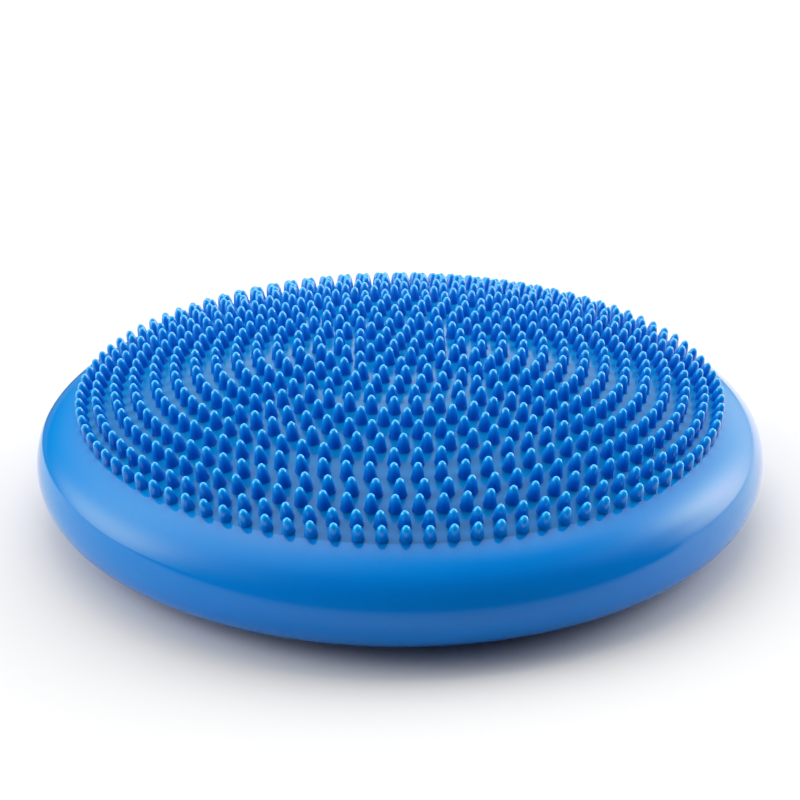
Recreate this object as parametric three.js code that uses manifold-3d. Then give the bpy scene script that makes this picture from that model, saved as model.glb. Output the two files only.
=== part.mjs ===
// Inflatable wobble cushion: a blown vinyl disc with a domed, knobbed top face, a smooth
// bulging rim, a studded base and a needle valve with a pull-out plug. Millimetres, +Z up,
// Z = 0 is the floor. The skin is drawn as the zones that move apart when the disc is used.
import * as THREE from "three";
import Module from "manifold-3d";
import { mergeVertices } from "three/addons/utils/BufferGeometryUtils.js";

// ---------------------------------------------------------------- driving dimensions
const WALL = 2.6; // thickness of the vinyl skin
const GAP = 0.3; // running clearance between neighbouring zones
const TURN = 64; // facets round a full turn of the skin
const VALVE_TURN = 20; // facets round the small valve pieces

const EQUATOR_R = 167.6; // widest radius
const EQUATOR_Z = 24.5; // height of the widest point
const UNDER_R = 139.6; // radius where the rim runs into the flat base
const UNDER_Z = 1.6; // height of the base skin; the grip studs fill the rest
const FIELD_EDGE_R = 148; // radius where the knobbed top face ends
const FIELD_EDGE_Z = 48.2;
const FIELD_EDGE_SLOPE = 0.4; // fall of the dome at that radius
const EQUATOR_PULL = 15; // how strongly the outline leaves the widest point upright
const FIELD_EDGE_PULL = 12; // and how strongly it meets the knobbed face in line with it

const RINGS = 16; // rings of knobs round a single centre knob
const KNOBS_PER_RING = 6; // ring k carries 6 k knobs
const KNOB_H = 7.8; // from the skin to the tip
const KNOB_LEAN = 0.75; // how far a knob leans outwards, as a share of standing square to the dome
const TIP_RIM_Z = 56; // height of the outermost ring's tips
const TIP_RIM_R = 147.1;
const DOME_RISE = 23.8; // centre tip above the outermost tips
const DOME_POWER = 2.46;
const PITCH = 9.44; // radial pitch of the rings on the flatter part
const PITCH_STEEP = 8.65; // pitch seen from above where the dome falls away
const PITCH_LAST = 7.5;
const STEEP_FROM = 13; // last ring on the flatter part
// where each ring starts, from the centre outwards, as a share of its own pitch
const RING_START = [
  0.2, 0.5, 0.55, 0.25, 0.45, 0.65, 0.25, 0.3, 0.3, 0.15, 0.25, 0.75, 0.5, 0.8, 0.7, 0.25,
];

const BASE_R = 138.4; // edge of the base face
const BASE_FLAT_R = 130; // radius that rests on the floor
const BASE_TOP_Z = 4.2;
const BASE_EDGE_ROUND = 0.7;

// the rim's zones: bottom and top heights, and facets from one to the other
const LOWER_WALL = { from: 1.9, to: 16.7, steps: 5 };
const BELT = { from: 17, to: 32, steps: 3 };
const UPPER_WALL = { from: 32.3, to: 40.2, steps: 3 };
const HOOP = { from: 40.5, to: 43.4, steps: 2 };
const SHOULDER_WEB = { from: 43.7, to: 47.35, steps: 2 };

const MEMBRANE_CIRCLES = 6; // circles of facets on the inside of the top face

const VALVE_ANGLE = 120; // degrees from +X, on the far side
const COLLAR_R = 5.2;
const COLLAR_BORE_R = 3.3;
const COLLAR_DEPTH = 8;
const FLANGE_R = 6.6;
const FLANGE_T = 1.4;
const CORE_R = COLLAR_BORE_R - GAP;
const CORE_FRONT = -4.6; // outer end of the sealing core, from the skin
const NEEDLE_R = 0.6;
const NEEDLE_LEAD_R = 1.7;
const PLUG_TIP = -4.2; // inner end of the plug's stem, from the skin
const PLUG_HEAD_R = 4.8;
const PLUG_HEAD_T = 1.6;
const VALVE_EDGE = 0.4; // break on the collar's and the plug's edges
const PLUG_LEAD = 0.8; // taper on the end of the stem

// ---------------------------------------------------------------- materials
const RIM_BLUE = 0x0f68bc;
const SHOULDER_BLUE = 0x1a7ad0;
const KNOB_BLUE = 0x1f7fd8;
const BASE_BLUE = 0x0a58a6;
const VALVE_BLUE = 0x0c4f94;
const RUBBER_BLACK = 0x15181c;
const GLOSSY = 0.22;
const SATIN = 0.4;
const MATT = 0.7;

function plastic(color, roughness) {
  return new THREE.MeshStandardMaterial({ color, roughness, metalness: 0 });
}

const group = new THREE.Group();
group.name = "wobble_cushion";

function add(name, geometry, color, roughness) {
  const mesh = new THREE.Mesh(geometry, plastic(color, roughness));
  mesh.name = name;
  group.add(mesh);
}

// a solid of revolution about Z from a closed section of (radius, height)
function turned(section) {
  return new THREE.LatheGeometry(section, TURN).rotateX(Math.PI / 2);
}

// ---------------------------------------------------------------- the rim's outline
const tangent = new THREE.Vector2(1, -FIELD_EDGE_SLOPE).normalize();
const upperRim = new THREE.CubicBezierCurve(
  new THREE.Vector2(EQUATOR_R, EQUATOR_Z),
  new THREE.Vector2(EQUATOR_R, EQUATOR_Z + EQUATOR_PULL),
  new THREE.Vector2(FIELD_EDGE_R, FIELD_EDGE_Z).addScaledVector(tangent, FIELD_EDGE_PULL),
  new THREE.Vector2(FIELD_EDGE_R, FIELD_EDGE_Z),
);

const HALVINGS = 40; // of the search for the curve's point at a height

// radius of the skin at height z
function skinRadius(z) {
  if (z <= EQUATOR_Z) {
    const fall = (EQUATOR_Z - z) / (EQUATOR_Z - UNDER_Z);
    return UNDER_R + (EQUATOR_R - UNDER_R) * Math.sqrt(Math.max(0, 1 - fall * fall));
  }
  let low = 0;
  let high = 1;
  for (let i = 0; i < HALVINGS; i += 1) {
    const middle = (low + high) / 2;
    if (upperRim.getPoint(middle).y < z) low = middle;
    else high = middle;
  }
  return upperRim.getPoint(low).x;
}

const SLOPE_STEP = 0.05; // half the height over which the outline's slope is taken

// the solid of a rim zone, with the wall inside the outline
function zoneSolid({ from, to, steps }) {
  const outside = [];
  const inside = [];
  for (let i = 0; i <= steps; i += 1) {
    const z = THREE.MathUtils.lerp(from, to, i / steps);
    const skin = new THREE.Vector2(skinRadius(z), z);
    const widening = skinRadius(z + SLOPE_STEP) - skinRadius(z - SLOPE_STEP);
    const normal = new THREE.Vector2(2 * SLOPE_STEP, -widening).normalize();
    outside.push(skin);
    inside.push(skin.clone().addScaledVector(normal, -WALL));
  }
  return turned([...outside, ...inside.reverse(), outside[0].clone()]);
}

add("lower_sidewall", zoneSolid(LOWER_WALL), RIM_BLUE, GLOSSY);
add("upper_sidewall", zoneSolid(UPPER_WALL), RIM_BLUE, GLOSSY);
add("shoulder_hoop", zoneSolid(HOOP), SHOULDER_BLUE, GLOSSY);
add("shoulder_web", zoneSolid(SHOULDER_WEB), SHOULDER_BLUE, GLOSSY);

// ---------------------------------------------------------------- base face
const baseSection = [
  new THREE.Vector2(0, 0),
  new THREE.Vector2(BASE_FLAT_R, 0),
  new THREE.Vector2(BASE_R - BASE_EDGE_ROUND, UNDER_Z),
  new THREE.Vector2(BASE_R, UNDER_Z + BASE_EDGE_ROUND),
  new THREE.Vector2(BASE_R - BASE_EDGE_ROUND, BASE_TOP_Z),
  new THREE.Vector2(0, BASE_TOP_Z),
];
add("base_face", turned(baseSection), BASE_BLUE, SATIN);

// ---------------------------------------------------------------- knobbed top face
function ringRadius(k) {
  if (k <= STEEP_FROM) return PITCH * k;
  if (k < RINGS) return PITCH * STEEP_FROM + PITCH_STEEP * (k - STEEP_FROM);
  return PITCH * STEEP_FROM + PITCH_STEEP * (RINGS - 1 - STEEP_FROM) + PITCH_LAST;
}

function tipHeight(r) {
  return TIP_RIM_Z + DOME_RISE * (1 - (r / TIP_RIM_R) ** DOME_POWER);
}

// (radius, height) on the skin at the foot of the knob whose tip is at radius r
function foot(r) {
  const fall = ((DOME_RISE * DOME_POWER) / TIP_RIM_R) * (r / TIP_RIM_R) ** (DOME_POWER - 1);
  const axis = new THREE.Vector2(KNOB_LEAN * fall, 1).normalize();
  return new THREE.Vector2(r, tipHeight(r)).addScaledVector(axis, -KNOB_H);
}

const vertices = [];
const faces = [];

// n vertices round the dome; place(i) gives each one's (radius, height)
function circle(n, phase, place) {
  const first = vertices.length / 3;
  for (let i = 0; i < n; i += 1) {
    const a = phase + (2 * Math.PI * i) / n;
    const { x: r, y: z } = place(i);
    vertices.push(r * Math.cos(a), r * Math.sin(a), z);
  }
  return { first, n, phase };
}

// joins circle a to circle b, which lies outside it, walking round both by angle
function zip(a, b) {
  const turn = 2 * Math.PI;
  const at = (c, i) => c.phase + (turn * i) / c.n;
  const name = (c, i) => c.first + (((i % c.n) + c.n) % c.n);
  let j = Math.round(((a.phase - b.phase) / turn) * b.n);
  const lastJ = j + b.n;
  let i = 0;
  while (i < a.n || j < lastJ) {
    const stepOuter = i >= a.n || (j < lastJ && at(b, j + 1) + at(b, j) < at(a, i + 1) + at(a, i));
    if (stepOuter) {
      faces.push(name(a, i), name(b, j), name(b, j + 1));
      j += 1;
    } else {
      faces.push(name(a, i), name(b, j), name(a, i + 1));
      i += 1;
    }
  }
}

function fan(centre, c, up) {
  for (let i = 0; i < c.n; i += 1) {
    const here = c.first + i;
    const next = c.first + ((i + 1) % c.n);
    if (up) faces.push(centre, here, next);
    else faces.push(centre, next, here);
  }
}

const centreTip = vertices.length / 3;
vertices.push(0, 0, tipHeight(0));
let outer = null;
for (let k = 1; k <= RINGS; k += 1) {
  const r = ringRadius(k);
  const count = KNOBS_PER_RING * k;
  const halfPitch = Math.PI / count;
  const ringPhase = 2 * halfPitch * RING_START[k - 1];
  const valleyFoot = foot((r + ringRadius(k - 1)) / 2);
  const valley = circle(count, ringPhase + halfPitch, () => valleyFoot);
  if (outer === null) fan(centreTip, valley, true);
  else zip(outer, valley);
  const tip = new THREE.Vector2(r, tipHeight(r));
  const between = foot(r);
  const tips = circle(2 * count, ringPhase, (i) => (i % 2 === 0 ? tip : between));
  zip(valley, tips);
  outer = tips;
}
const edgeR = skinRadius(SHOULDER_WEB.to) - GAP;
const edgeZ = SHOULDER_WEB.to + GAP / 2;
const rimEdge = new THREE.Vector2(edgeR, edgeZ);
const edge = circle(TURN, 0, () => rimEdge);
zip(outer, edge);

// the underside of the membrane, from its edge back to the centre
const innerR = edgeR - WALL / 2;
const innerCircles = [];
for (let i = 0; i < MEMBRANE_CIRCLES; i += 1) {
  const inside = i === 0 ? new THREE.Vector2(innerR, edgeZ) : foot(innerR * (1 - i / MEMBRANE_CIRCLES));
  inside.y -= WALL;
  innerCircles.push(circle(TURN / 2, 0, () => inside));
}
const undersideFrom = faces.length;
zip(innerCircles[0], edge);
for (let i = 1; i < MEMBRANE_CIRCLES; i += 1) {
  zip(innerCircles[i], innerCircles[i - 1]);
}
for (let i = undersideFrom; i < faces.length; i += 3) {
  [faces[i + 1], faces[i + 2]] = [faces[i + 2], faces[i + 1]];
}
const innerCentre = vertices.length / 3;
vertices.push(0, 0, foot(0).y - WALL);
fan(innerCentre, innerCircles[MEMBRANE_CIRCLES - 1], false);

const topGeometry = new THREE.BufferGeometry();
topGeometry.setAttribute("position", new THREE.Float32BufferAttribute(vertices, 3));
topGeometry.setIndex(faces);
topGeometry.computeVertexNormals();
add("top_face", topGeometry, KNOB_BLUE, GLOSSY);

// ---------------------------------------------------------------- belt, bored for the valve
const wasm = await Module();
wasm.setup();

function solidOf(source) {
  const geometry = source.clone();
  geometry.deleteAttribute("normal");
  geometry.deleteAttribute("uv");
  const merged = mergeVertices(geometry, MERGE_WITHIN);
  return new wasm.Manifold(
    new wasm.Mesh({
      numProp: 3,
      vertProperties: new Float32Array(merged.attributes.position.array),
      triVerts: new Uint32Array(merged.index.array),
    }),
  );
}

const MERGE_WITHIN = 1e-4; // distance at which two vertices count as one
const valveTurn = THREE.MathUtils.degToRad(VALVE_ANGLE - 90);
const drillR = COLLAR_R + GAP;
const drill = new THREE.CylinderGeometry(drillR, drillR, 4 * COLLAR_DEPTH, VALVE_TURN);
drill.translate(0, EQUATOR_R, EQUATOR_Z);
drill.rotateZ(valveTurn);
const bored = solidOf(zoneSolid(BELT)).subtract(solidOf(drill)).getMesh();
const beltGeometry = new THREE.BufferGeometry();
beltGeometry.setAttribute("position", new THREE.Float32BufferAttribute(bored.vertProperties, 3));
beltGeometry.setIndex([...bored.triVerts]);
beltGeometry.computeVertexNormals();
add("equator_belt", beltGeometry, RIM_BLUE, GLOSSY);

// ---------------------------------------------------------------- valve, turned about the rim's radius
const valve = new THREE.Group();
valve.name = "valve";
valve.rotation.z = valveTurn;
valve.position.z = EQUATOR_Z;
group.add(valve);

// a piece turned about the valve's axis from pairs of radius and distance out from the skin;
// a pierced piece's section closes on itself
function addToValve(name, pairs, pierced, color, roughness) {
  const section = pairs.map(([r, s]) => new THREE.Vector2(r, s));
  if (pierced) section.push(section[0].clone());
  const geometry = new THREE.LatheGeometry(section, VALVE_TURN);
  const mesh = new THREE.Mesh(geometry, plastic(color, roughness));
  mesh.name = name;
  mesh.position.y = EQUATOR_R;
  valve.add(mesh);
}

addToValve(
  "valve_collar",
  [
    [COLLAR_BORE_R, -COLLAR_DEPTH],
    [COLLAR_R, -COLLAR_DEPTH],
    [COLLAR_R, GAP],
    [FLANGE_R, GAP],
    [FLANGE_R, FLANGE_T - VALVE_EDGE],
    [FLANGE_R - VALVE_EDGE, FLANGE_T],
    [COLLAR_BORE_R + VALVE_EDGE, FLANGE_T],
    [COLLAR_BORE_R, FLANGE_T - VALVE_EDGE],
  ],
  true,
  VALVE_BLUE,
  SATIN,
);

addToValve(
  "valve_core",
  [
    [NEEDLE_R, -COLLAR_DEPTH + GAP],
    [CORE_R, -COLLAR_DEPTH + GAP],
    [CORE_R, CORE_FRONT],
    [NEEDLE_LEAD_R, CORE_FRONT],
    [NEEDLE_R, CORE_FRONT - NEEDLE_LEAD_R + NEEDLE_R],
  ],
  true,
  RUBBER_BLACK,
  MATT,
);

const headInside = FLANGE_T + GAP;
const headOutside = headInside + PLUG_HEAD_T;
addToValve(
  "valve_plug",
  [
    [0, PLUG_TIP],
    [CORE_R - PLUG_LEAD, PLUG_TIP],
    [CORE_R, PLUG_TIP + PLUG_LEAD],
    [CORE_R, headInside],
    [PLUG_HEAD_R - VALVE_EDGE, headInside],
    [PLUG_HEAD_R, headInside + VALVE_EDGE],
    [PLUG_HEAD_R - VALVE_EDGE, headOutside - VALVE_EDGE],
    [PLUG_HEAD_R - 2 * VALVE_EDGE, headOutside],
    [0, headOutside],
  ],
  false,
  VALVE_BLUE,
  SATIN,
);

export default group;
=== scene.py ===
import bpy
import math
import numpy as np
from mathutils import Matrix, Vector


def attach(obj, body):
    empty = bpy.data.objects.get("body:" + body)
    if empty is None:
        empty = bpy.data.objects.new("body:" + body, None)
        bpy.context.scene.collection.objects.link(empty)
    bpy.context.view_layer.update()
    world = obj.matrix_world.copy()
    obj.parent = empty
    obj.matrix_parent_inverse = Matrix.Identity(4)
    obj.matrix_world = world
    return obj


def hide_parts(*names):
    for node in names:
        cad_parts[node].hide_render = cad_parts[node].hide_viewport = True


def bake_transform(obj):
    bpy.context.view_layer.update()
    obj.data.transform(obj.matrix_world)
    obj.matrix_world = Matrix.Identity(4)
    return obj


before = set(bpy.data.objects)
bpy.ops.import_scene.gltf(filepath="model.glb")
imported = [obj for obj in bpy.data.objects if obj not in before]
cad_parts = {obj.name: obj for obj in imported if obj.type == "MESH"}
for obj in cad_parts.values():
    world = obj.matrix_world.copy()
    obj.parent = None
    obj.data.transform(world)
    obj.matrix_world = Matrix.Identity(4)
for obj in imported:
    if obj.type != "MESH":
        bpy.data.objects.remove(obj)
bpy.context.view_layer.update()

MM = 0.001
TAU = 2 * math.pi

# ------------------------------------------------------------------ the skin's outline, in millimetres
EQUATOR_R = 167.6       # the rim at its widest
EQUATOR_Z = 24.5
UNDER_R = 139.6         # where the rim turns up from the base
UNDER_Z = 1.6
EDGE_R = 148.0          # where the rim meets the knobbed field
EDGE_Z = 48.2
EDGE_SLOPE = 0.4        # how steeply the rim falls away there
SIDE_HANDLE = 15        # how long the rim's curve holds its direction above the widest part
EDGE_HANDLE = 12        # and how long at the field's edge
HOOP_Z = 42.2           # where the shoulder's skin starts
WALL = 2.6
SEGS = 288              # sides of every surface turned about Z
NEAR_AXIS = 0.02        # where an outline stops short of the axis, so that its faces there aren't empty
LOW_STEPS = 40          # rows of the rim below its widest part
HIGH_STEPS = 44         # and above it

# ------------------------------------------------------------------ the knobs, in millimetres
RINGS = 16
KNOBS_PER_RING = 6      # ring k carries 6 k knobs
RING_PITCH = 9.44
OUTER_PITCH = 8.65      # beyond ring OUTER_FROM
LAST_PITCH = 7.5        # from the last ring but one to the last
OUTER_FROM = 13
# where each ring of knobs starts, as a share of its pitch
RING_START = (0.2, 0.5, 0.55, 0.25, 0.45, 0.65, 0.25, 0.3, 0.3, 0.15, 0.25, 0.75, 0.5, 0.8, 0.7, 0.25)
KNOB_H = 7.8            # from the skin to the tip
KNOB_LEAN = 0.75        # how far a knob leans outwards, as a share of standing square to the dome
KNOB_SPREAD = 0.015     # how much knobs differ in height, as a share of it
TIP_RIM_R = 147.1       # the outermost tips
TIP_RIM_Z = 56.0
DOME_RISE = 23.8        # how much higher the middle tip is
DOME_POWER = 2.46       # how square-shouldered the dome is

# ------------------------------------------------------------------ the valve, in millimetres
VALVE_ANGLE = math.radians(120)
VALVE_SEGS = 48
HOLE_R = 4.3            # the hole in the skin, which the collar fills


def tip_height(r):
    return TIP_RIM_Z + DOME_RISE * (1 - (r / TIP_RIM_R) ** DOME_POWER)


def knob_axis(r):
    """Which way the knob whose tip is at radius r leans, as (outwards, up)."""
    fall = DOME_RISE * DOME_POWER / TIP_RIM_R * (r / TIP_RIM_R) ** (DOME_POWER - 1)
    lean = KNOB_LEAN * fall
    return np.array([lean, 1.0]) / math.hypot(lean, 1)


def foot(r):
    """(radius, height) on the skin under that knob's tip."""
    return np.array([r, tip_height(r)]) - KNOB_H * knob_axis(r)


def ring_radius(k):
    if k <= OUTER_FROM:
        return RING_PITCH * k
    outer = RING_PITCH * OUTER_FROM
    if k < RINGS:
        return outer + OUTER_PITCH * (k - OUTER_FROM)
    return outer + OUTER_PITCH * (RINGS - 1 - OUTER_FROM) + LAST_PITCH


def bezier(p0, p1, p2, p3, t):
    p0, p1, p2, p3 = (np.array(p, float) for p in (p0, p1, p2, p3))
    t = np.asarray(t)[:, None]
    return p0 * (1 - t) ** 3 + 3 * p1 * (1 - t) ** 2 * t + 3 * p2 * (1 - t) * t ** 2 + p3 * t ** 3


def rim_profile():
    """The rim's outline from the base up to the knobbed field, as (radius, height)."""
    a = np.linspace(math.pi / 2, 0, LOW_STEPS)
    low = np.stack([UNDER_R + (EQUATOR_R - UNDER_R) * np.cos(a),
                    EQUATOR_Z - (EQUATOR_Z - UNDER_Z) * np.sin(a)], 1)
    along = np.array([1, -EDGE_SLOPE]) / math.hypot(1, EDGE_SLOPE)
    high = bezier((EQUATOR_R, EQUATOR_Z), (EQUATOR_R, EQUATOR_Z + SIDE_HANDLE),
                  np.array((EDGE_R, EDGE_Z)) + EDGE_HANDLE * along, (EDGE_R, EDGE_Z),
                  np.linspace(0, 1, HIGH_STEPS))
    return np.vstack([low, high[1:]])


# ------------------------------------------------------------------ meshes
def smooth_mesh(name, verts, faces, normals=None):
    mesh = bpy.data.meshes.new(name)
    mesh.from_pydata([tuple(v) for v in verts], [], faces)
    mesh.validate()
    mesh.polygons.foreach_set("use_smooth", [True] * len(mesh.polygons))
    if normals is not None:
        mesh.normals_split_custom_set_from_vertices([tuple(n) for n in normals])
    mesh.update()
    obj = bpy.data.objects.new(name, mesh)
    bpy.context.scene.collection.objects.link(obj)
    return obj


def turned_normals(profile):
    """The outward direction at each point of a profile, as (outwards, up)."""
    d = np.gradient(profile, axis=0)
    n = np.stack([d[:, 1], -d[:, 0]], 1)
    return n / np.linalg.norm(n, axis=1)[:, None]


def ring_faces(rows, segs, closed):
    """Quads between neighbouring rows of a turned grid; a closed one joins the last row to the first."""
    faces = []
    for i in range(rows if closed else rows - 1):
        here, there = i * segs, (i + 1) % rows * segs
        for j in range(segs):
            k = (j + 1) % segs
            faces.append((here + j, here + k, there + k, there + j))
    return faces


def spin(pairs, segs):
    """(radius, height) pairs turned about Z: every pair at every angle."""
    a = np.arange(segs) / segs * TAU
    return np.stack([np.outer(pairs[:, 0], np.cos(a)), np.outer(pairs[:, 0], np.sin(a)),
                     np.repeat(pairs[:, 1:2], segs, 1)], -1).reshape(-1, 3)


def from_valve_axis(verts):
    """How far points are from the valve's axis, their two offsets from it, and the first's direction."""
    out = np.array([math.cos(VALVE_ANGLE), math.sin(VALVE_ANGLE), 0])
    side = np.array([-out[1], out[0], 0])
    across = np.stack([verts @ side, verts[:, 2] - EQUATOR_Z * MM], 1)
    beyond_reach = 1.0      # for the points on the disc's other side
    far = np.where(verts @ out > 0, np.linalg.norm(across, axis=1), beyond_reach)
    return far, across, side


def open_valve_hole(verts, faces, outer_count):
    """Takes away the faces over the valve's bore, rounds the hole's edge and closes it through the wall."""
    far, across, side = from_valve_axis(verts)
    inside = far < HOLE_R * MM
    if not inside.any():
        return verts, faces
    kept = [f for f in faces if not all(inside[v] for v in f)]
    cut = [f for f in faces if all(inside[v] for v in f)]
    used = {v for f in kept for v in f}
    for v in np.flatnonzero(inside):
        if v in used and far[v] > 0:
            grow = HOLE_R * MM / far[v] - 1
            verts[v] += side * across[v, 0] * grow
            verts[v, 2] += across[v, 1] * grow
    edges = {(a, b) for f in cut for a, b in zip(f, f[1:] + f[:1])}
    lip = [(a, b) for a, b in edges if (b, a) not in edges and a < outer_count and b < outer_count]

    def through(v):
        """The point across the wall from outer point v."""
        return 2 * outer_count - SEGS * (v // SEGS + 1) + v % SEGS

    return verts, kept + [(a, b, through(b), through(a)) for a, b in lip]


def turned(name, profile, normals):
    """A skin of revolution about Z, with its wall inside the outline: (radius, height) in millimetres."""
    profile = np.asarray(profile, float)
    inner = profile - WALL * normals
    inner[:, 0] = np.maximum(inner[:, 0], NEAR_AXIS / 2)
    section = np.vstack([profile, inner[::-1]]) * MM
    verts = spin(section, SEGS)
    outward = spin(np.vstack([normals, -normals[::-1]]), SEGS)
    faces = ring_faces(len(section), SEGS, closed=True)
    verts, faces = open_valve_hole(verts, faces, len(profile) * SEGS)
    used = np.zeros(len(verts), bool)
    used[[v for f in faces for v in f]] = True
    index = np.cumsum(used) - 1
    faces = [tuple(int(index[v]) for v in f) for f in faces]
    return smooth_mesh(name, verts[used], faces, outward[used])


def bumps(name, pairs, tip, places, put):
    """Many copies of one small turned form, closed underneath and ending in a tip.
    put(form, place) moves one copy to its place. The attribute "rise" grows towards 1 at the tip."""
    segs = 16
    unit = np.vstack([spin(pairs, segs), [[0, 0, tip]]])
    top = len(pairs) * segs
    one = ring_faces(len(pairs), segs, closed=False)
    one += [(top - segs + j, top - segs + (j + 1) % segs, top) for j in range(segs)]
    one.append(tuple(reversed(range(segs))))
    verts, faces = [], []
    for i, place in enumerate(places):
        verts.append(put(unit.copy(), place))
        faces += [tuple(i * len(unit) + q for q in f) for f in one]
    obj = smooth_mesh(name, np.vstack(verts) * MM, faces)
    rise = np.clip(unit[:, 2] / tip, 0, 1) ** 2 if tip else np.zeros(len(unit))
    obj.data.attributes.new("rise", "FLOAT", "POINT").data.foreach_set("value", np.tile(rise, len(places)))
    return obj


# ------------------------------------------------------------------ materials
MOTTLE_SCALE = 14.0       # the slow change of tone and height, in features per metre
GRAIN_SCALE = 1500.0      # the fine grain
GRAIN_SHARE = 0.6         # how much of the change of tone follows the grain; the rest follows the mottle
MOTTLE_SHARE = 0.4
ROUGHNESS_SPREAD = 0.05
WAVE_STRENGTH = 0.12
WAVE_HEIGHT = 0.004
GRAIN_HEIGHT = 0.0002
VINYL_IOR = 1.45
SSS_RADIUS = (0.0006, 0.0014, 0.003)      # how far red, green and blue light spreads inside a knob


def node(tree, kind, **values):
    """A new node. A value whose name is an input's goes to that input, and any other is the node's own."""
    n = tree.nodes.new(kind)
    for key, value in values.items():
        if key in n.inputs:
            n.inputs[key].default_value = value
        else:
            setattr(n, key, value)
    return n


def vinyl(name, deep, light, roughness, coat=1.0, coat_rough=0.05, coat_ior=1.33, bump=0.02, sss=0.0,
          tip=None):
    """Moulded vinyl: a tone mottled from deep to light, fine grain and a slow waviness under a clear coat.
    tip is the tone that the attribute "rise" leads to, painting light on a knob's top and shade at its
    foot."""
    mat = bpy.data.materials.new(name)
    mat.use_nodes = True
    t = mat.node_tree
    bsdf = t.nodes["Principled BSDF"]
    link = t.links.new
    coord = node(t, "ShaderNodeTexCoord")
    mottle = node(t, "ShaderNodeTexNoise", Scale=MOTTLE_SCALE, Detail=3.0)
    grain = node(t, "ShaderNodeTexNoise", Scale=GRAIN_SCALE, Detail=2.0)
    link(coord.outputs["Object"], mottle.inputs["Vector"])
    link(coord.outputs["Object"], grain.inputs["Vector"])

    blend = node(t, "ShaderNodeMix", data_type="RGBA")
    blend.inputs["A"].default_value = (*deep, 1)
    blend.inputs["B"].default_value = (*light, 1)
    slow = node(t, "ShaderNodeMath", operation="MULTIPLY")
    slow.inputs[1].default_value = MOTTLE_SHARE
    link(mottle.outputs["Fac"], slow.inputs[0])
    share = node(t, "ShaderNodeMath", operation="MULTIPLY_ADD")
    share.inputs[1].default_value = GRAIN_SHARE
    link(grain.outputs["Fac"], share.inputs[0])
    link(slow.outputs[0], share.inputs[2])
    link(share.outputs[0], blend.inputs["Factor"])
    tone = blend.outputs["Result"]
    # painted light and shade: the tone pales towards a knob's tip and stays deep at its foot
    if tip:
        rise = node(t, "ShaderNodeAttribute", attribute_name="rise")
        painted_tip_light = node(t, "ShaderNodeMix", data_type="RGBA")
        painted_tip_light.inputs["B"].default_value = (*tip, 1)
        link(rise.outputs["Fac"], painted_tip_light.inputs["Factor"])
        link(tone, painted_tip_light.inputs["A"])
        tone = painted_tip_light.outputs["Result"]
    link(tone, bsdf.inputs["Base Color"])

    rough = node(t, "ShaderNodeMapRange")
    rough.inputs["To Min"].default_value = roughness - ROUGHNESS_SPREAD
    rough.inputs["To Max"].default_value = roughness + ROUGHNESS_SPREAD
    link(mottle.outputs["Fac"], rough.inputs["Value"])
    link(rough.outputs["Result"], bsdf.inputs["Roughness"])

    wave = node(t, "ShaderNodeBump", Strength=WAVE_STRENGTH, Distance=WAVE_HEIGHT)
    link(mottle.outputs["Fac"], wave.inputs["Height"])
    bumped = node(t, "ShaderNodeBump", Strength=bump, Distance=GRAIN_HEIGHT)
    link(grain.outputs["Fac"], bumped.inputs["Height"])
    link(wave.outputs["Normal"], bumped.inputs["Normal"])
    link(bumped.outputs["Normal"], bsdf.inputs["Normal"])

    bsdf.inputs["IOR"].default_value = VINYL_IOR
    bsdf.inputs["Specular IOR Level"].default_value = 0.0
    bsdf.inputs["Coat Weight"].default_value = coat
    bsdf.inputs["Coat Roughness"].default_value = coat_rough
    bsdf.inputs["Coat IOR"].default_value = coat_ior
    if sss:
        bsdf.inputs["Subsurface Weight"].default_value = sss
        bsdf.inputs["Subsurface Radius"].default_value = SSS_RADIUS
        bsdf.inputs["Subsurface Scale"].default_value = 1.0
    return mat


rim_mat = vinyl("rim_vinyl", (0.0003, 0.131, 0.46), (0.0008, 0.172, 0.58), roughness=0.45)
# painted shade: a darker copy of the rim's vinyl for the skin between the knobs, where they shade it
shaded_field_mat = vinyl("field_vinyl_painted_shade", (0.0003, 0.112, 0.315), (0.0008, 0.149, 0.405), roughness=0.42, coat=0.52,
                  coat_rough=0.16)
# painted light and shade: the knobs pale to the tip tone on top and keep the deeper tone at the foot
knob_mat = vinyl("knob_vinyl", (0.0001, 0.095, 0.42), (0.0003, 0.13, 0.54), roughness=0.4, coat_rough=0.03,
                 coat_ior=1.5, sss=0.1, tip=(0.001, 0.33, 0.9))
base_mat = vinyl("base_vinyl", (0.002, 0.09, 0.45), (0.005, 0.13, 0.58), roughness=0.42, coat=0.3,
                 coat_rough=0.25)
collar_mat = vinyl("collar_vinyl", (0.002, 0.06, 0.32), (0.004, 0.09, 0.42), roughness=0.4, coat=0.3,
                   coat_rough=0.2)
rubber_mat = vinyl("valve_rubber", (0.01, 0.011, 0.012), (0.02, 0.021, 0.023), roughness=0.7, coat=0.0,
                   bump=0.2)


def wear(obj, mat):
    obj.data.materials.clear()
    obj.data.materials.append(mat)
    return obj


# ------------------------------------------------------------------ rim skins
profile = rim_profile()
normals = turned_normals(profile)
cut_belt = int(np.argmin(abs(profile[:, 1] - EQUATOR_Z)))
cut_hoop = int(np.argmin(abs(profile[:, 1] - HOOP_Z)))


def rim_skin(name, first, last):
    """The part of the rim's skin between two rows of its outline."""
    return wear(turned(name, profile[first:last + 1], normals[first:last + 1]), rim_mat)


lower = rim_skin("rim_lower_skin", 0, cut_belt)
upper = rim_skin("rim_upper_skin", cut_belt, cut_hoop)
shoulder = rim_skin("shoulder_skin", cut_hoop, len(profile) - 1)

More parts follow.
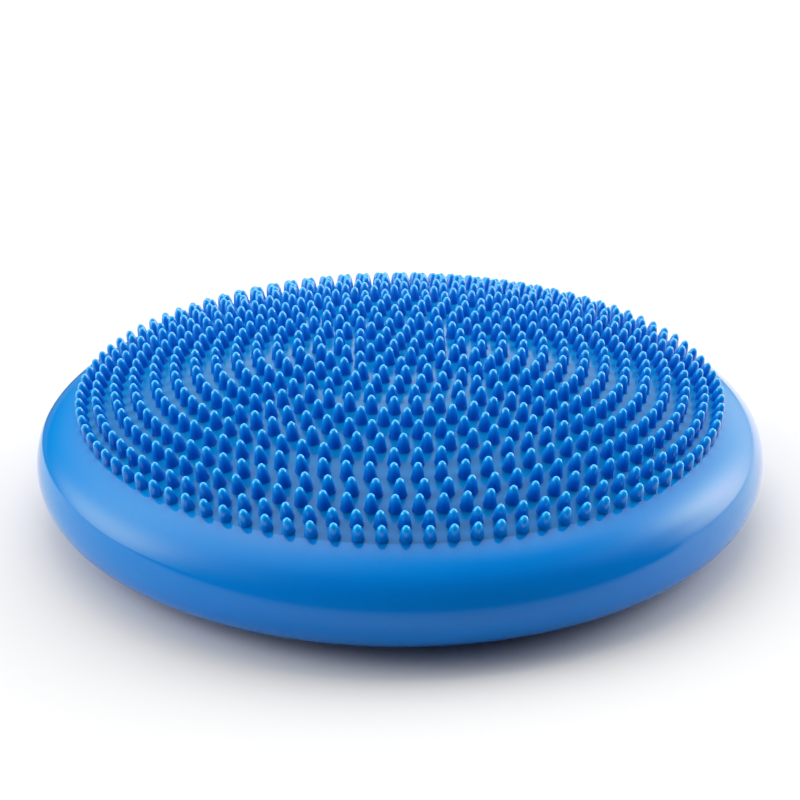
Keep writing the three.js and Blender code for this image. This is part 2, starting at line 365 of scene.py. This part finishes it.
# ------------------------------------------------------------------ knobbed top face
DOME_FROM = 151.0       # the tip radius whose foot is about at the rim's edge
DOME_TO = 6
DOME_ROWS = 70
EDGE_PULL = 24          # how closely the dome keeps its own shape before it turns down to the rim's edge
dome = np.array([foot(r) for r in (*np.linspace(DOME_FROM, DOME_TO, DOME_ROWS), DOME_TO / 3, NEAR_AXIS)])
dome[:, 0] *= EDGE_R / dome[0, 0]
dome[:, 1] += (EDGE_Z - dome[0, 1]) * (dome[:, 0] / EDGE_R) ** EDGE_PULL
dome_normals = turned_normals(dome)
dome_normals[0] = normals[-1]
# the field's skin wears the painted shade
dome_skin = wear(turned("top_skin", dome, dome_normals), shaded_field_mat)

rng = np.random.default_rng(7)


def put_knob(unit, place):
    """Stands a knob on the dome at (radius of its tip, angle), leaning outwards."""
    r, ang = place
    lean_out, lean_up = knob_axis(r)
    foot_r, foot_z = foot(r)
    height = unit[:, 2] * (1 + rng.uniform(-KNOB_SPREAD, KNOB_SPREAD))
    out = foot_r + unit[:, 0] * lean_up + height * lean_out
    ca, sa = math.cos(ang), math.sin(ang)
    return np.stack([out * ca - unit[:, 1] * sa, out * sa + unit[:, 1] * ca,
                     foot_z - unit[:, 0] * lean_out + height * lean_up], 1)


# (radius, height above the skin): sunk a little below it, flared at the foot and rounded at the tip
KNOB = np.array([(3.3, -1.0), (3.05, 0.0), (2.86, 0.4), (2.74, 1.1), (2.6, 2.2), (2.4, 3.5), (2.16, 4.8),
                 (1.92, 5.8), (1.62, 6.6), (1.2, 7.2), (0.66, 7.62)])
knob_places = [(0.0, 0.0)]
for ring, start in enumerate(RING_START, 1):
    count = KNOBS_PER_RING * ring
    knob_places += [(ring_radius(ring), TAU * (i + start) / count) for i in range(count)]
knob_field = wear(bumps("top_knobs", KNOB, KNOB_H, knob_places, put_knob), knob_mat)

# ------------------------------------------------------------------ base
GROOVE = [(131.4, UNDER_Z), (132, 2.2), (134, 2.2), (134.6, UNDER_Z)]      # near the base's edge
base_outline = np.array([(NEAR_AXIS, UNDER_Z), (60, UNDER_Z), (110, UNDER_Z), *GROOVE, (UNDER_R, UNDER_Z)])
downwards = np.tile([0.0, -1.0], (len(base_outline), 1))
base_skin = wear(turned("base_skin", base_outline, downwards), base_mat)

STUD_RINGS = 13
STUDS_PER_RING = 6
STUD_PITCH = 9.6
# (radius, height) with the tip at height 0 and the foot below it; put_stud turns it tip down
STUD = np.array([(2.2, -2.2), (2.1, -1.6), (1.85, -1.2), (1.7, -0.6), (1.45, -0.2), (0.8, -0.03)])


def put_stud(unit, place):
    """Stands a stud upside down on the floor plane at (radius, angle)."""
    r, ang = place
    return unit * np.array([1, -1, -1]) + np.array([r * math.cos(ang), r * math.sin(ang), 0])


stud_places = []
for ring in range(1, STUD_RINGS + 1):
    count = STUDS_PER_RING * ring
    start = 0.5 * (ring % 2)            # every other ring starts half a pitch on
    stud_places += [(STUD_PITCH * ring, TAU * (i + start) / count) for i in range(count)]
stud_field = wear(bumps("base_studs", STUD, 0.0, stud_places, put_stud), base_mat)


# ------------------------------------------------------------------ valve
def valve_piece(name, pairs, mat, hollow, follow=0.0, ribs=0, rib_depth=0.0, rib_from=0.0):
    """A piece turned about the valve's axis from (radius, distance out from the skin), in millimetres.
    follow bends it to the disc's own curve, and ribs flute its outside beyond radius rib_from."""
    pairs = np.array(pairs, float)
    rows = len(pairs)
    local = spin(pairs, VALVE_SEGS)
    if ribs:
        reach = np.linalg.norm(local[:, :2], axis=1)
        flute = np.tile(0.5 + 0.5 * np.cos(ribs * np.arange(VALVE_SEGS) / VALVE_SEGS * TAU), rows)
        local[:, :2] *= (1 - rib_depth * flute * (reach > rib_from))[:, None]
    faces = ring_faces(rows, VALVE_SEGS, closed=hollow)
    if not hollow:
        faces.append(tuple(reversed(range(VALVE_SEGS))))
        faces.append(tuple((rows - 1) * VALVE_SEGS + j for j in range(VALVE_SEGS)))
    height = EQUATOR_Z + local[:, 1]
    radius = np.interp(height, profile[:, 1], profile[:, 0])
    near_skin = local[:, 2] > -1
    drop = (radius - EQUATOR_R - local[:, 0] ** 2 / (2 * EQUATOR_R)) * follow * near_skin
    out = EQUATOR_R + local[:, 2] + drop
    ca, sa = math.cos(VALVE_ANGLE), math.sin(VALVE_ANGLE)
    verts = np.stack([out * ca - local[:, 0] * sa, out * sa + local[:, 0] * ca, height], 1)
    return wear(smooth_mesh(name, verts * MM, faces), mat)


collar = valve_piece("valve_boss", [
    (3.3, -8), (5.1, -8), (5.1, -0.5), (5.6, -0.15), (6.6, -0.1), (6.6, 0.35), (6.5, 0.75), (6.2, 1.05),
    (5.8, 1.2), (5.3, 1.25), (5.1, 1.15), (4.95, 1.15), (4.75, 1.25), (4.2, 1.4), (3.8, 1.4), (3.5, 1.25),
    (3.3, 0.95)], collar_mat, hollow=True, follow=1.0)
core = valve_piece("valve_seal", [
    (0.35, -7.7), (2.95, -7.7), (3.0, -7.4), (3.0, -5.0), (2.9, -4.7), (2.6, -4.6), (1.9, -4.6),
    (1.6, -4.75), (0.9, -5.6), (0.45, -6.2), (0.35, -6.6)], rubber_mat, hollow=True)
plug = valve_piece("valve_stopper", [
    (0.01, -4.2), (2.0, -4.2), (2.5, -3.9), (2.75, -3.4), (2.95, -2.9), (2.95, -2.6), (2.7, -2.3),
    (2.7, -1.9), (2.95, -1.6), (2.95, -1.3), (2.7, -1.0), (2.7, -0.6), (2.95, -0.3), (3.0, 0.6), (3.0, 1.6),
    (3.1, 1.72),
    (4.4, 1.75), (4.7, 1.85), (4.8, 2.1), (4.8, 2.6), (4.7, 2.95), (4.4, 3.2), (4.0, 3.3), (3.6, 3.25),
    (3.3, 3.05), (2.9, 2.95), (1.2, 2.9), (0.01, 2.9)], collar_mat, hollow=False, ribs=24, rib_depth=0.03,
    rib_from=4.6)

# ------------------------------------------------------------------ bodies
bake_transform(lower)
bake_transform(upper)
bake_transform(shoulder)
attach(dome_skin, "top")
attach(knob_field, "top")
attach(base_skin, "base")
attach(stud_field, "base")
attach(collar, "middle")
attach(core, "middle")
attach(plug, "plug")
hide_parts("lower_sidewall", "equator_belt")
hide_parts("upper_sidewall", "shoulder_hoop")
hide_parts("shoulder_web")
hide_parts("top_face")
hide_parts("base_face")
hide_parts("valve_collar")
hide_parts("valve_core")
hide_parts("valve_plug")

# ------------------------------------------------------------------ stage
FLOOR_HALF = 12.0
FLOOR_TONE = 0.66
PAPER_ROUGHNESS = 0.7
PAPER_SPECULAR = 0.1
FADE_FROM = 0.45        # how far from the disc's middle the floor starts to glow, to run into the backdrop
FADE_TO = 1.5
FADE_GLOW = 1.4
REFLECTED_GAPS = ((62, 78), (106, 154))      # azimuths of painted shade on the reflected floor, from +X towards +Y
GAP_EASE = 3                                 # half the angle over which a gap darkens
GAP_TONE = 0.05
FRONT_DARK, FRONT_LIT = -0.30, -0.20         # the reflected floor's front edge, where painted shade takes over, at its left end
FRONT_SLANT = 0.12                           # how much further back that edge lies at its right end
SLANT_FROM, SLANT_TO = -0.05, 0.42
LEFT_TONE = 0.6                              # painted light and shade of the reflected floor: this tone on the left, up to 1 on the right
TONE_FROM, TONE_TO = 0.1, 0.3


def sheet(name, half, z, material):
    """A flat square sheet of the studio, level at height z."""
    mesh = bpy.data.meshes.new(name)
    corners = [(-half, -half, z), (half, -half, z), (half, half, z), (-half, half, z)]
    mesh.from_pydata(corners, [], [tuple(range(len(corners)))])
    obj = bpy.data.objects.new(name, mesh)
    bpy.context.scene.collection.objects.link(obj)
    obj.data.materials.append(material)
    return obj


def paper(name, tone):
    mat = bpy.data.materials.new(name)
    mat.use_nodes = True
    bsdf = mat.node_tree.nodes["Principled BSDF"]
    bsdf.inputs["Base Color"].default_value = (tone, tone, tone, 1)
    bsdf.inputs["Roughness"].default_value = PAPER_ROUGHNESS
    bsdf.inputs["Specular IOR Level"].default_value = PAPER_SPECULAR
    return mat


def span(tree, value, low, high, to_low, to_high):
    """A value's share of the way from low to high, eased at both ends, as to_low to to_high."""
    n = node(tree, "ShaderNodeMapRange", interpolation_type="SMOOTHSTEP")
    for key, number in (("From Min", low), ("From Max", high), ("To Min", to_low), ("To Max", to_high)):
        n.inputs[key].default_value = number
    tree.links.new(value, n.inputs["Value"])
    return n.outputs["Result"]


def bright_far_off(mat):
    """Lights a sheet from within where it is far from the disc, so that it runs into the white backdrop."""
    t = mat.node_tree
    bsdf = t.nodes["Principled BSDF"]
    place = node(t, "ShaderNodeTexCoord")
    away = node(t, "ShaderNodeVectorMath", operation="LENGTH")
    t.links.new(place.outputs["Object"], away.inputs[0])
    strength = span(t, away.outputs["Value"], FADE_FROM, FADE_TO, 0.0, FADE_GLOW)
    t.links.new(strength, bsdf.inputs["Emission Strength"])
    bsdf.inputs["Emission Color"].default_value = (1, 1, 1, 1)
    mat.cycles.emission_sampling = "NONE"


def painted_reflection_paper(name):
    """Floor paper for the reflections, its tone painted light and shade: brightest on the right, and
    painted shade in front and in two gaps behind.
    """
    mat = paper(name, 0.5)
    t = mat.node_tree
    place = node(t, "ShaderNodeTexCoord")
    split = node(t, "ShaderNodeSeparateXYZ")
    t.links.new(place.outputs["Object"], split.inputs[0])
    x, y = split.outputs["X"], split.outputs["Y"]
    azimuth = node(t, "ShaderNodeMath", operation="ARCTAN2")
    t.links.new(y, azimuth.inputs[0])
    t.links.new(x, azimuth.inputs[1])
    factors = []
    for start, end in REFLECTED_GAPS:
        gap = node(t, "ShaderNodeMath", operation="ADD")
        for socket, at, before, after in ((0, start, 1.0, GAP_TONE), (1, end, 0.0, 1.0 - GAP_TONE)):
            low, high = math.radians(at - GAP_EASE), math.radians(at + GAP_EASE)
            t.links.new(span(t, azimuth.outputs[0], low, high, before, after), gap.inputs[socket])
        factors.append(gap.outputs[0])
    # how far back a place is, from a front edge that slants
    reach = node(t, "ShaderNodeMath", operation="SUBTRACT")
    t.links.new(y, reach.inputs[0])
    t.links.new(span(t, x, SLANT_FROM, SLANT_TO, 0.0, FRONT_SLANT), reach.inputs[1])
    factors.append(span(t, reach.outputs[0], FRONT_DARK, FRONT_LIT, 0.0, 1.0))
    factors.append(span(t, x, TONE_FROM, TONE_TO, LEFT_TONE, 1.0))
    shade = factors[0]
    for factor in factors[1:]:
        product = node(t, "ShaderNodeMath", operation="MULTIPLY")
        t.links.new(shade, product.inputs[0])
        t.links.new(factor, product.inputs[1])
        shade = product.outputs[0]
    # the paper's colour is painted light and shade
    t.links.new(shade, t.nodes["Principled BSDF"].inputs["Base Color"])
    return mat


floor_paper = paper("floor_paper", FLOOR_TONE)
bright_far_off(floor_paper)
floor = sheet("floor", FLOOR_HALF, 0.0, floor_paper)
floor.visible_glossy = False
# what the rim's gloss shows of the floor, a hair above it, with painted light and shade in its tone
HAIR = 0.0001
reflected = sheet("floor_in_reflections", FLOOR_HALF, HAIR, painted_reflection_paper("reflected_paper"))
reflected.visible_camera = False
reflected.visible_diffuse = False
reflected.visible_shadow = False


def direction(azimuth, elevation):
    """A unit vector. Azimuth is from +X towards +Y, and both are in degrees."""
    az, el = math.radians(azimuth), math.radians(elevation)
    return Vector((math.cos(el) * math.cos(az), math.cos(el) * math.sin(az), math.sin(el)))


BOX_DISTANCE = 1.6
AIM_Z = 0.03            # the height that the soft panels face


def softbox(name, azimuth, elevation, half_angle, radiance):
    """A soft square panel facing the disc, which spans half_angle each way as seen from the disc."""
    side = 2 * BOX_DISTANCE * math.tan(math.radians(half_angle))
    towards = direction(azimuth, elevation)
    data = bpy.data.lights.new(name, "AREA")
    data.shape = "RECTANGLE"
    data.size = data.size_y = side
    data.energy = radiance * math.pi * side * side
    obj = bpy.data.objects.new(name, data)
    obj.location = Vector((0, 0, AIM_Z)) + BOX_DISTANCE * towards
    obj.rotation_euler = (-towards).to_track_quat("-Z", "Y").to_euler()
    obj.visible_glossy = False
    bpy.context.scene.collection.objects.link(obj)


softbox("left_fill", 196, 40, 14, 1.5)
softbox("overhead", 90, 66, 24, 2.85)

# ------------------------------------------------------------------ sky
SKY_BASE = 0.01
BACKDROP = 2.0          # how bright the sky is to the camera itself, so that it shows white
# (azimuth, elevation, sharpness, radiance) of each soft patch of light
PATCHES = (
    (28, 30, 24, 8.5), (26, 6, 24, 4.6), (8, 12, 40, 2.8),          # the large box on the right
    (48, 14, 12, 1.4), (0, 36, 20, 0.9), (62, 14, 30, 0.6),         # and its spill
    (174, 28, 16, 4.4), (176, 5, 16, 3.4), (188, 16, 40, 1.3),      # the box on the left
    (156, 16, 30, 1.2), (200, 30, 14, 0.8), (140, 45, 24, 1.7),     # and its spill
    (60, 62, 30, 2.5), (110, 62, 30, 3.0), (168, 62, 14, 1.5),      # above
    (90, 34, 20, 3.4), (90, 8, 60, 5.6), (118, 34, 30, 0.6),        # behind
)

world = bpy.data.worlds.new("studio")
bpy.context.scene.world = world
world.use_nodes = True
sky_tree = world.node_tree
sky = sky_tree.nodes["Background"]
sky_place = node(sky_tree, "ShaderNodeTexCoord")


def sky_math(operation, *values):
    """The output of a Math node fed with numbers or other outputs."""
    n = node(sky_tree, "ShaderNodeMath", operation=operation)
    for socket, value in zip(n.inputs, values):
        if isinstance(value, (int, float)):
            socket.default_value = value
        else:
            sky_tree.links.new(value, socket)
    return n.outputs[0]


def patch(azimuth, elevation, sharpness, radiance):
    """A soft patch of light round one direction: the cosine of the angle to it, to a power."""
    dot = node(sky_tree, "ShaderNodeVectorMath", operation="DOT_PRODUCT")
    sky_tree.links.new(sky_place.outputs["Generated"], dot.inputs[0])
    dot.inputs[1].default_value = direction(azimuth, elevation)
    facing = sky_math("MAXIMUM", dot.outputs["Value"], 0.0)
    return sky_math("MULTIPLY", sky_math("POWER", facing, sharpness), radiance)


light = SKY_BASE
for values in PATCHES:
    light = sky_math("ADD", light, patch(*values))
path = node(sky_tree, "ShaderNodeLightPath")
seen = node(sky_tree, "ShaderNodeMix", data_type="FLOAT")
sky_tree.links.new(path.outputs["Is Camera Ray"], seen.inputs["Factor"])
sky_tree.links.new(light, seen.inputs["A"])
seen.inputs["B"].default_value = BACKDROP
sky_tree.links.new(seen.outputs["Result"], sky.inputs["Strength"])
sky.inputs["Color"].default_value = (1, 1, 1, 1)

# ------------------------------------------------------------------ camera
CAMERA_PLACE = (0, -0.8401, 0.4111)
CAMERA_PITCH = math.radians(23.494)     # below the horizon
camera_data = bpy.data.cameras.new("camera")
camera_data.lens = 88.8
camera_data.sensor_width = 36
camera_data.clip_end = 60
camera = bpy.data.objects.new("camera", camera_data)
camera.location = CAMERA_PLACE
camera.rotation_euler = (math.pi / 2 - CAMERA_PITCH, 0, 0)
bpy.context.scene.collection.objects.link(camera)
bpy.context.scene.camera = camera

# a soft shoulder, as a camera has: straight up to the middle tones and gentler above them
view = bpy.context.scene.view_settings
view.view_transform = "Standard"
view.look = "None"
view.use_curve_mapping = True
mapping = view.curve_mapping
mapping.extend = "EXTRAPOLATED"
all_channels = mapping.curves[3]
for before, after in ((0.5, 0.5), (0.75, 0.67)):
    all_channels.points.new(before, after)
all_channels.points[-1].location = (1.0, 0.81)
for point in all_channels.points:
    point.handle_type = "VECTOR"
mapping.update()
